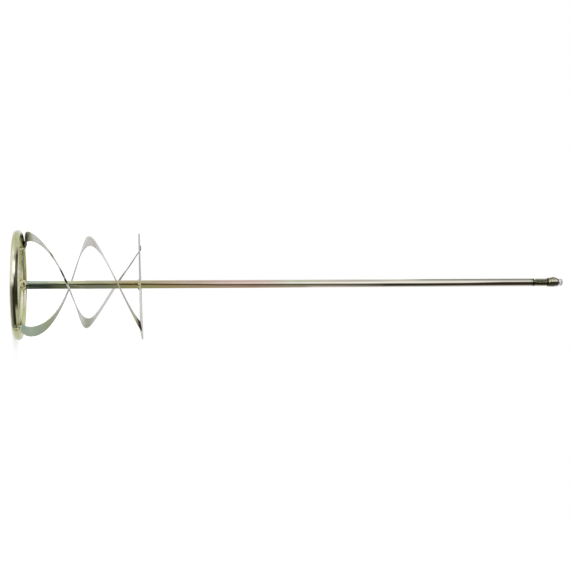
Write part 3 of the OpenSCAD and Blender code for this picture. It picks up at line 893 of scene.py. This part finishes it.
def wall_paint(tree, around, z):
    """Flags by height and by angle, 0 on the camera's side and growing upwards in the picture: a dark core
    that leans down above the cage, a brow and a high flag above it, warm mirrors of the yellow zinc below it,
    near the cage and far up, a heavy flag round it along the upper shaft, others at the foot and under the
    upper end, and dark patches at the edge and behind the spoke. All of it fades out above the shaft."""
    leans = ((0.13, 0), (0.156, 12), (0.22, 30), (0.30, 38), (0.35, 40), (0.41, 46), (0.466, 48), (0.525, 42),
             (0.57, 22))
    lean = greys(tree, z, *((height, degrees / 360) for height, degrees in leans))
    leaning = maths(tree, "SUBTRACT", maths(tree, "ADD", around, lean), 10 / 360)
    core = flag(tree, leaning, z, (
        (-32, 0.0), (-22, 0.7), (-12, 1.0), (5, 1.0), (12, 0.90), (26, 0.54), (42, 0.26), (62, 0.03),
        (70, 0.0)))
    near = flag(tree, leaning, z, ((-170, 0.96), (4, 0.96), (14, 0.0)), ((0.32, 1.0), (0.36, 0.0)))
    far = flag(tree, leaning, z, (
        (-170, 0.55), (-90, 0.62), (-74, 0.7), (-62, 0.86), (-50, 0.95), (4, 0.96), (14, 0.0)))
    heavy = flag(tree, leaning, z, (
        (-120, 0.3), (-90, 0.4), (-75, 0.5), (-62, 0.68), (-52, 0.86), (-42, 0.97), (-34, 1.0), (10, 1.0),
        (18, 0.95), (26, 0.82), (36, 0.48), (46, 0.17), (56, 0.05), (66, 0.0)), ((0.27, 0.0), (0.42, 1.0)))
    foot = flag(tree, around, z, (
        (-140, 0.6), (-116, 0.99), (0, 0.99), (30, 0.85), (62, 0.42), (74, 0.2)), (
        (0.030, 1.0), (0.064, 0.0)))
    brow = flag(tree, around, z, (
        (34, 0.0), (50, 0.58), (72, 0.70), (92, 0.62), (112, 0.49), (140, 0.44), (168, 0.39)), (
        (0.09, 0.6), (0.20, 0.8), (0.30, 0.77), (0.40, 1.0), (0.44, 0.8)))
    high = flag(tree, around, z, ((36, 0.0), (56, 0.62), (90, 0.72), (130, 0.93), (170, 0.93)), (
        (0.39, 0.0), (0.44, 0.5), (0.47, 0.9), (0.57, 1.0)))
    behind = flag(tree, around, z, ((146, 0.0), (154, 0.95), (177, 0.95), (180, 0.0)), (
        (0.008, 0.0), (0.012, 1.0), (0.030, 1.0), (0.036, 0.0)))
    under = flag(tree, around, z, (
        (-150, 0.35), (-115, 0.45), (-100, 0.58), (-88, 0.84), (-76, 1.0), (-40, 1.0), (-20, 0.0)), (
        (0.47, 0.0), (0.53, 1.0)))
    edge = flag(tree, around, z, ((-170, 0.7), (-135, 0.6), (-105, 0.0)), ((0.09, 1.0), (0.11, 0.0)))
    dark = largest(tree, core, heavy, foot, under, edge, behind, brow, high)
    dense = largest(tree, dark, near, far)
    depth = ramp(tree, z, (
        (0.02, (0.050, 0.052, 0.046)), (0.07, (0.055, 0.072, 0.012)), (0.12, (0.100, 0.046, 0.010)),
        (0.17, (0.085, 0.064, 0.036)), (0.30, (0.050, 0.042, 0.032)), (0.43, (0.026, 0.020, 0.014))))
    warm = ramp(tree, z, (
        (0.05, (0.25, 0.26, 0.22)), (0.085, (0.24, 0.27, 0.29)), (0.12, (0.38, 0.41, 0.26)),
        (0.17, (0.42, 0.40, 0.25)), (0.26, (0.33, 0.27, 0.18)), (0.35, (0.47, 0.39, 0.32)),
        (0.43, (0.46, 0.43, 0.37))))
    return times(tree, dense, spread(tree, z, 0.85, 1.3, 1.0, 0.0)), mix(tree, dark, warm, depth)


def floor_paint(tree, around, radius):
    """Dark in front of the lower half of the ring as far as its seam, a strip light before its middle, grey
    round the rest, and thinner close to the ring."""
    density = flag(tree, around, radius, (
        (-180, 0.4), (-62, 0.25), (-54, 0.3), (-48, 1.0), (-3, 1.0), (4, 0.1), (36, 0.1), (60, 0.4),
        (180, 0.4)), ((0.0555, 0.4), (0.0565, 0.8), (0.0575, 1.0)))
    return lit(tree, around, density, greys(tree, radius, (0.0562, 0.0), (0.0572, 1.0)))


def collar_paint(tree, around, z):
    """Dark before the lower half of the ring as far as its seam, with a strip light before its middle, and
    pale below the seam, where the collar hides the dark foot of the wall."""
    return lit(tree, around, flag(tree, around, z, (
        (-52, 0.0), (-48, 0.9), (-34, 0.85), (-24, 0.4), (-12, 0.5), (-4, 0.86), (4, 0.0))))


def lid_paint(tree, around, radius):
    """Dark over a shorter stretch than the collar and over the inner side of the upper half, pale below that
    stretch, and without the strip light."""
    before = flag(tree, around, radius, ((-26, 0.0), (-20, 0.97), (-2, 0.97), (4, 0.0)))
    inside = flag(tree, around, radius, ((-4, 0.0), (0, 0.97), (34, 0.97), (48, 0.0)), (
        (0.0590, 1.0), (0.0603, 0.0)))
    return lit(tree, around, largest(tree, before, inside), light_share=0.0, pale_end=-22)


def lit(tree, around, density, light_share=1.0, pale_end=-50):
    """Density and colour of a dark card with a share of the strip light before the ring's middle and with a
    pale stretch that ends at the given angle in degrees: there the card is solid."""
    light = flag(tree, around, None, ((5, 0.0), (15, 1.0), (25, 1.0), (35, 0.0)))
    light = times(tree, light, light_share)
    pale = flag(tree, around, None, ((-176, 0.0), (-160, 1.0), (pale_end - 6, 1.0), (pale_end, 0.0)))
    level = bpy.context.scene.paddle_studio.strip_light
    shade = mix(tree, light, mix(tree, pale, (0.045, 0.040, 0.030), grey(0.72)), grey(level))
    return largest(tree, density, pale, light), shade


# Operators


class PADDLE_OT_shaft(bpy.types.Operator):
    """Make the plated shaft with its slotted drive end"""

    bl_idname = "paddle.shaft"
    bl_label = "Shaft"

    def execute(self, context):
        scene = context.scene
        points = shaft_points(scene.paddle_rods, scene.paddle_drive)
        finish = shaft_finish(scene.paddle_finish, SHAFT_HI.z)
        add_piece("plated_shaft", [points], finish, "shaft_zinc", "shaft", sharp=35)
        return {"FINISHED"}


class PADDLE_OT_ring(bpy.types.Operator):
    """Make the bent bottom ring, the plug of its seam and the spoke"""

    bl_idname = "paddle.ring"
    bl_label = "Bottom ring"

    def execute(self, context):
        rods, look = context.scene.paddle_rods, context.scene.paddle_finish
        rod_r = rods.rod_d / 2
        gap = rods.seam_gap / (rods.ring_d / 2 - rod_r)
        rod = ring_points(rods, rod_r, end_round=0.5 * MM, start=rods.seam_turn + gap / 2, sweep=TURN - gap,
                          rows=240)
        add_piece("bent_ring", [rod], ring_finish(look), "ring_zinc", "base_ring")
        plug = ring_points(rods, rod_r - rods.seam_groove, end_round=0.05 * MM,
                           start=rods.seam_turn - gap / 2, sweep=gap, rows=5)
        burnt = scale_finish(look, "seam_burnt_scale", black=0.5)
        add_piece("seam_plug", [plug], burnt, "weld", "ring_seam_weld")
        finish = spoke_finish(look, rods.spoke_lift + rods.spoke_side)
        add_piece("square_spoke", [spoke_points(rods)], finish, "ring_zinc", "ring_spoke")
        return {"FINISHED"}


class PADDLE_OT_strips(bpy.types.Operator):
    """Make the two wound ribbon strips"""

    bl_idname = "paddle.strips"
    bl_label = "Ribbon strips"

    def execute(self, context):
        scene = context.scene
        # The first strip's black and olive root is painted shade where it leaves the ring
        first = (
            ("soot", 0.0, 0.014), ("fern", 0.024), ("moss", 0.036, 0.075), ("fern", 0.095), ("olive", 0.11),
            ("pale", 0.125, 0.222), ("fern", 0.236), ("moss", 0.243), ("fern", 0.25), ("pale", 0.266, 0.29),
            ("smoke", 0.305, 0.322), ("dove", 0.329), ("soot", 0.334, 0.347), ("pale", 0.356, 0.52),
            ("dove", 0.58, 0.64), ("pale", 0.70), ("bright", 0.76, 0.86), ("slate", 0.885, 0.92),
            ("lead", 0.945))
        # The second strip's olive to black upper end is painted shade beside the crossbar's edge
        second = (
            ("sage", 0.0, 0.15), ("olive", 0.19), ("pale", 0.28, 0.665), ("blush", 0.69), ("pale", 0.71),
            ("bright", 0.76, 0.83), ("tan", 0.855, 0.875), ("lead", 0.895, 0.94), ("olive", 0.955),
            ("fern", 0.968), ("moss", 0.980), ("soot", 0.988))
        sides = (("a", scene.paddle_strip_a, -1, first), ("b", scene.paddle_strip_b, 1, second))
        for name, wind, side, runs in sides:
            points = strip_points(wind, scene.paddle_strips, scene.paddle_rods, side)
            finish = strip_finish(scene.paddle_finish, "strip_%s_pale_zinc" % name, runs)
            mesh = add_piece("ribbon_" + name, [points], finish, "strip_zinc", "blade_" + name, sharp=50)
            share_up = np.repeat(np.linspace(0, 1, len(points)), points.shape[1])
            layer = mesh.attributes.new("wind", "FLOAT", "POINT")
            layer.data.foreach_set("value", np.concatenate([share_up, [0.0, 1.0]]))
        return {"FINISHED"}


class PADDLE_OT_crossbar(bpy.types.Operator):
    """Make the flat crossbar"""

    bl_idname = "paddle.crossbar"
    bl_label = "Crossbar"

    def execute(self, context):
        scene = context.scene
        points, finish = bar_points(scene.paddle_rods), bar_finish(scene.paddle_finish)
        add_piece("flat_crossbar", [points], finish, "strip_zinc", "top_crossbar", wrap_rows=True)
        return {"FINISHED"}


class PADDLE_OT_welds(bpy.types.Operator):
    """Make the rippled weld beads and the spatter round them"""

    bl_idname = "paddle.welds"
    bl_label = "Welds"

    def execute(self, context):
        scene = context.scene
        rods, look = scene.paddle_rods, scene.paddle_finish
        finish = weld_finish(look)
        strips = (("a", scene.paddle_strip_a, -1), ("b", scene.paddle_strip_b, 1))
        self.collars(rods, finish)
        self.spoke_beads(rods, finish)
        # The first strip's root bead is black: painted shade on its shadow side
        self.root_beads(rods, strips, {"a": scale_finish(look, "root_painted_shade", black=0.55), "b": finish})
        self.top_beads(rods, scale_finish(look, "bead_grey_scale", black=0.25))
        self.spatter(rods, finish)
        return {"FINISHED"}

    def collars(self, rods, finish):
        """The collar round the shaft's foot, on the spoke, and the fillet under the crossbar. The reach of
        each swells in a few broad waves, with ripples between them."""
        def foot_lumps(angle, along):
            coins = 0.10 * np.abs(np.sin(11 * angle + 2.5 * np.sin(3 * along)))
            return 0.92 + 0.16 * np.sin(3 * angle + 0.8) + 0.10 * np.sin(5 * angle - 1.3 + 4 * along) + coins

        def bar_lumps(angle, along):
            coins = 0.16 * np.abs(np.sin(9 * angle + 1.5 * along))
            return 0.86 + 0.10 * np.sin(2 * angle + 1.0) + 0.06 * np.sin(5 * angle) + coins

        foot_profile = ((0.02, 5.0), (0.5, 4.3), (0.95, 3.2), (1.55, 1.8), (1.95, 0.5), (1.95, -0.3),
                        (1.4, -0.95))
        bar_profile = ((0.02, -1.9), (0.75, -1.65), (1.3, -1.1), (1.75, -0.5), (1.9, 0.4))
        inner = rods.shaft_d / 2 - 0.05 * MM
        foot = collar_points(inner, rods.spoke_lift + rods.spoke_side, foot_profile, foot_lumps)
        add_piece("foot_bead", [foot], finish, "weld", "shaft_foot_weld", wrap_rows=True)
        under = collar_points(inner, rods.bar_mid - rods.bar_t / 2, bar_profile, bar_lumps)
        add_piece("crossbar_bead", [under], finish, "weld", "crossbar_weld", wrap_rows=True)

    def spoke_beads(self, rods, finish):
        """One bead across each end of the spoke, against the ring."""
        sizes = 4.0 * MM, 3.2 * MM, 2.75 * MM
        inner = rods.ring_d / 2 - rods.rod_d - rods.seat
        height = rods.spoke_lift + rods.spoke_side / 2
        for name, side in (("left", -1), ("right", 1)):
            centre = (side * inner, 0, height)
            bead = blob_points(centre, (0, 1, 0), sizes, ripples=9, seed=1.0 + side)
            add_piece("spoke_bead_" + name, [bead], finish, "weld", "spoke_weld_" + name)

    def root_beads(self, rods, strips, finishes):
        """One bead across the lower end of each strip, on the ring."""
        sizes, set_back = (3.9 * MM, 1.7 * MM, 1.9 * MM), 0.7 * MM
        mid_r = rods.ring_d / 2 - rods.rod_d / 2
        for name, wind, side in strips:
            radial = np.array([math.cos(wind.start), math.sin(wind.start), 0])
            back = np.array([math.sin(wind.start), -math.cos(wind.start), 0])
            centre = radial * mid_r + back * set_back + np.array([0, 0, rods.rod_d + rods.seat])
            bead = blob_points(centre, radial, sizes, ripples=8, seed=0.6 * side)
            add_piece("root_bead_" + name, [bead], finishes[name], "weld", "blade_root_weld_" + name)

    def top_beads(self, rods, finish):
        """Two small lumps on the crossbar's edge at the upper end of each strip, given by their distance from
        the shaft and their radius in millimetres."""
        first, second = ((54.3, 0.95), (50.9, 1.0)), ((56.0, 0.9), (53.5, 0.8))
        stretch = 1.6
        bar = np.array([math.cos(rods.bar_turn), math.sin(rods.bar_turn), 0])
        wide = np.array([-bar[1], bar[0], 0])
        for name, side, lumps in (("a", -1, first), ("b", 1, second)):
            beads = []
            for along, r in lumps:
                tilt = bar_tilt_at(rods, side * along * MM)
                edge = -side * (rods.bar_w / 2 + rods.seat / 2)
                height = rods.bar_mid + edge * math.sin(tilt) - side * rods.bar_t / 2
                centre = side * along * MM * bar + edge * wide + np.array([0, 0, height])
                sizes = (stretch * r * MM, r * MM, r * MM)
                beads.append(blob_points(centre, bar, sizes, ripples=5, seed=along))
            add_piece("top_bead_" + name, beads, finish, "weld", "blade_top_weld_" + name)

    def spatter(self, rods, finish):
        """Small balls strewn over the ring near the spoke's ends and over the spoke near the shaft."""
        rng = np.random.default_rng(11)
        count = 26
        rod_r = rods.rod_d / 2
        end = np.where(np.arange(count) % 2 == 0, 0.0, math.pi)
        angle = end + rng.normal(0, 0.10, count)
        around = rng.uniform(0.9, 2.7, count)
        out = rods.ring_d / 2 - rod_r + rod_r * np.cos(around)
        on_ring = np.stack([out * np.cos(angle), out * np.sin(angle), rod_r + rod_r * np.sin(around)], -1)
        along = rng.choice([-1, 1], count) * rng.uniform(6, 13, count) * MM
        across = rng.uniform(-2, 2, count) * MM
        on_spoke = np.stack([along, across, np.full(count, rods.spoke_lift + rods.spoke_side)], -1)
        centres = np.concatenate([on_ring, on_spoke])
        radii = rng.uniform(0.16, 0.42, len(centres)) * MM
        add_piece("weld_spatter", ball_points(centres, radii), finish, "weld", sharp=60)


class PADDLE_OT_stage(bpy.types.Operator):
    """Make the pale floor, the soft studio light, the reflection cards and the camera"""

    bl_idname = "paddle.stage"
    bl_label = "Studio"

    def execute(self, context):
        scene, studio = context.scene, context.scene.paddle_studio
        scene.view_settings.view_transform = "Standard"
        self.floor(studio)
        self.cards(studio)
        self.world(scene)
        self.lamps()
        self.camera(scene, studio)
        return {"FINISHED"}

    def seen_directly(self, tree):
        """1 for what the camera sees, also by way of gloss or glass, and 0 for diffuse light."""
        path = node(tree, "ShaderNodeLightPath").outputs
        return largest(tree, path["Is Camera Ray"], path["Is Glossy Ray"], path["Is Transmission Ray"])

    def floor(self, studio):
        """A round floor: rings of points round the shaft's axis, closer together near it, just below the
        ring."""
        rows, columns, drop = 24, 72, 0.2 * MM
        r = np.linspace(0.02, 1, rows)[:, None] ** 2 * studio.floor_r
        angle = loop_angles(columns)
        points = np.stack([r * np.cos(angle), r * np.sin(angle), 0 * r * angle - drop], -1)
        flat = np.concatenate([points.reshape(-1, 3), [[0, 0, -drop]]])
        here = np.arange(columns)
        fan = np.stack([np.full(columns, len(flat) - 1), here, (here + 1) % columns], -1)
        mesh = bpy.data.meshes.new("studio_floor")
        mesh.from_pydata(flat.tolist(), [], grid_faces(rows, columns)[:, ::-1].tolist() + fan.tolist())
        paint, tree = new_material("studio_floor_white")
        place = node(tree, "ShaderNodeTexCoord").outputs["Object"]
        level = spread(tree, length_of(tree, place), 0.08, 0.5, 0.36, 0.62)
        feed(tree, tree.nodes["Principled BSDF"], {
            "Base Color": (0.80, 0.80, 0.80, 1),
            "Roughness": 0.9,
            "Specular IOR Level": 0.0,
            "Emission Color": (1, 1, 1, 1),
            "Emission Strength": times(tree, self.seen_directly(tree), level)})
        mesh.materials.append(paint)
        put("studio_floor", mesh)

    def cards(self, studio):
        """Dark cards that only reflections see: a curved one round the cage and the shaft, a flat one on the
        floor round the ring, and a low collar with a lid close round the ring."""
        z = np.linspace(-0.1, studio.card_h, 14)[:, None]
        self.add_card(studio, "wall_card", studio.card_r, z, wall_paint)
        r = np.linspace(studio.floor_card_r, studio.card_r, 5)[:, None]
        self.add_card(studio, "floor_card", r, 0.2 * MM, floor_paint)
        z = np.linspace(0.3 * MM, studio.collar_h, 3)[:, None]
        self.add_card(studio, "collar_card", studio.collar_r, z, collar_paint)
        r = np.linspace(studio.lid_r, studio.collar_r, 3)[:, None]
        self.add_card(studio, "lid_card", r, studio.collar_h, lid_paint)

    def add_card(self, studio, name, r, z, paint_of):
        """One card: rings of points round the shaft's axis. Its density and its colour are functions of the
        angle from the camera's side, as a share of the full turn, and of the height or the radius."""
        angle = loop_angles(144)
        r, z = np.broadcast_arrays(r, z)
        points = np.stack([r * np.cos(angle), r * np.sin(angle), z + 0 * angle], -1)
        mesh = bpy.data.meshes.new(name)
        mesh.from_pydata(points.reshape(-1, 3).tolist(), [], grid_faces(*points.shape[:2]).tolist())
        paint, tree = new_material(name + "_grey")
        tree.nodes.clear()
        place = node(tree, "ShaderNodeTexCoord").outputs["Object"]
        inputs = {"Vector": place, "Angle": RIGHT_ANGLE - studio.azimuth}
        axes = axes_of(tree, node(tree, "ShaderNodeVectorRotate", inputs, rotation_type="Z_AXIS").outputs[0])
        around = spread(tree, angle_of(tree, axes), -math.pi, math.pi, 1.0, 0.0)
        density, shade = paint_of(tree, around, radius_of(tree, axes) if np.ptp(z) == 0 else axes["Z"])
        dark = node(tree, "ShaderNodeEmission", {"Color": shade, "Strength": 1.0}).outputs[0]
        clear = node(tree, "ShaderNodeBsdfTransparent").outputs[0]
        both = node(tree, "ShaderNodeMixShader", {0: density, 1: clear, 2: dark}).outputs[0]
        node(tree, "ShaderNodeOutputMaterial", {"Surface": both})
        mesh.materials.append(paint)
        card = put(name, mesh)
        card.visible_camera = card.visible_diffuse = card.visible_shadow = False

    def world(self, scene):
        """White where it is seen, a little dimmer as light."""
        scene.world = bpy.data.worlds.new("studio_white")
        scene.world.use_nodes = True
        tree = scene.world.node_tree
        strength = spread(tree, self.seen_directly(tree), 0.0, 1.0, 0.7, 1.0)
        feed(tree, tree.nodes["Background"], {"Color": (1, 1, 1, 1), "Strength": strength})

    def lamps(self):
        """One large softbox high above the stage, a little towards the camera."""
        lamp = bpy.data.lights.new("softbox", "AREA")
        lamp.shape, lamp.size, lamp.size_y, lamp.energy = "RECTANGLE", 1.4, 1.0, 12.0
        swing = Matrix.Rotation(math.radians(-15), 4, "Z")
        tilt = Matrix.Rotation(math.radians(18), 4, "X")
        put("softbox", lamp).matrix_world = swing @ Matrix.Translation((0, -0.7, 2.0)) @ tilt

    def camera(self, scene, studio):
        """The camera stands in front of the cage and a little above the floor, rolled so that the shaft lies
        across the picture, and looks up along the shaft by the pitch. Its distance gives the ring its span in
        the picture, and it is moved along the shaft until the ring's centre lies in its column."""
        sensor, ring_span, ring_middle = 36 * MM, 112 * MM, np.array([0, 0, 3.5 * MM])
        azimuth, pitch, roll = studio.azimuth, studio.pitch, studio.roll
        viewer = np.array([math.sin(azimuth), -math.cos(azimuth), 0])
        upright = np.array([-math.cos(azimuth), -math.sin(azimuth), 0])
        shaft = np.array(UPWARD)
        level = math.cos(pitch) * shaft + math.sin(pitch) * viewer
        away = math.sin(pitch) * shaft - math.cos(pitch) * viewer
        right = math.cos(roll) * level - math.sin(roll) * upright
        up = math.sin(roll) * level + math.cos(roll) * upright
        focal_px = studio.lens / sensor * FRAME_PX
        distance = focal_px * ring_span / RING_SPAN_PX
        aside = (RING_COLUMN_PX - FRAME_PX / 2) / focal_px * distance
        place = ring_middle - aside * right - distance * away
        data = bpy.data.cameras.new("photo_camera")
        data.sensor_width, data.lens = sensor / MM, studio.lens / MM
        data.clip_start, data.clip_end = 0.01, 50
        camera = put("photo_camera", data)
        camera.matrix_world = Matrix([*np.stack([right, up, -away, place], -1).tolist(), [0, 0, 0, 1]])
        scene.camera = camera


class PADDLE_PT_panel(bpy.types.Panel):
    """Lists the steps that dress the paddle"""

    bl_idname = "PADDLE_PT_panel"
    bl_label = "Mixing Paddle"
    bl_space_type = "VIEW_3D"
    bl_region_type = "UI"
    bl_category = "Paddle"

    def draw(self, context):
        for operator in OPERATORS:
            self.layout.operator(operator.bl_idname)
        for group in GROUPS:
            column = self.layout.column()
            values = getattr(context.scene, group)
            for name in values.__annotations__:
                column.prop(values, name)


GROUPS = {
    "paddle_rods": PaddleRods,
    "paddle_strips": PaddleStrips,
    "paddle_strip_a": PaddleFirstStrip,
    "paddle_strip_b": PaddleSecondStrip,
    "paddle_drive": PaddleDrive,
    "paddle_finish": PaddleFinish,
    "paddle_studio": PaddleStudio,
}
OPERATORS = (PADDLE_OT_stage, PADDLE_OT_shaft, PADDLE_OT_ring, PADDLE_OT_strips, PADDLE_OT_crossbar,
             PADDLE_OT_welds)


def register():
    for group in (*GROUPS.values(), *OPERATORS, PADDLE_PT_panel):
        bpy.utils.register_class(group)
    for name, group in GROUPS.items():
        setattr(bpy.types.Scene, name, PointerProperty(type=group))


def unregister():
    for name in GROUPS:
        delattr(bpy.types.Scene, name)
    for group in (PADDLE_PT_panel, *reversed(OPERATORS), *reversed(list(GROUPS.values()))):
        bpy.utils.unregister_class(group)


def main():
    register()
    bpy.ops.paddle.stage()
    bpy.ops.paddle.shaft()
    bpy.ops.paddle.ring()
    bpy.ops.paddle.strips()
    bpy.ops.paddle.crossbar()
    bpy.ops.paddle.welds()


if __name__ == "__main__":
    main()
